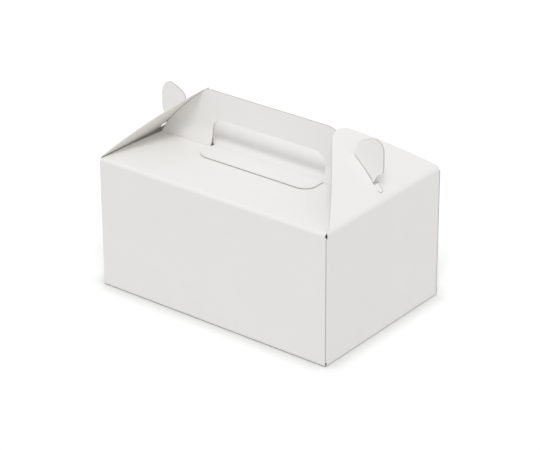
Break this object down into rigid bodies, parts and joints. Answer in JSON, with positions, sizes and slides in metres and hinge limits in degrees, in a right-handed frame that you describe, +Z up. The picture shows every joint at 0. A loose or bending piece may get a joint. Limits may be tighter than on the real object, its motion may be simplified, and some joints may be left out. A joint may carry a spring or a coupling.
{
  "type": "handled cake box",
  "caption": "Folded paperboard carry carton with an upright handle and pointed end wings that hook over the handle's ears.",
  "frame": {"origin": "middle of the underside", "axes": "+X along the long side, the front wall faces -Y, +Z up through the handle"},
  "size_m": [0.18, 0.12, 0.1289],
  "materials": {
    "board": "white coated carton board, smooth and half matte"
  },
  "bodies": {
    "carton": {"carton": "board"},
    "left_wing": {"left_wing": "board"},
    "right_wing": {"right_wing": "board"}
  },
  "joints": [
    {"name": "left_wing_crease", "type": "hinge", "parent": "carton", "child": "left_wing", "pos_m": [-0.08913, 0, 0.09131], "axis": [0, -1, 0], "range_deg": [0, 195]},
    {"name": "right_wing_crease", "type": "hinge", "parent": "carton", "child": "right_wing", "pos_m": [0.08913, 0, 0.09131], "axis": [0, 1, 0], "range_deg": [0, 195]}
  ]
}
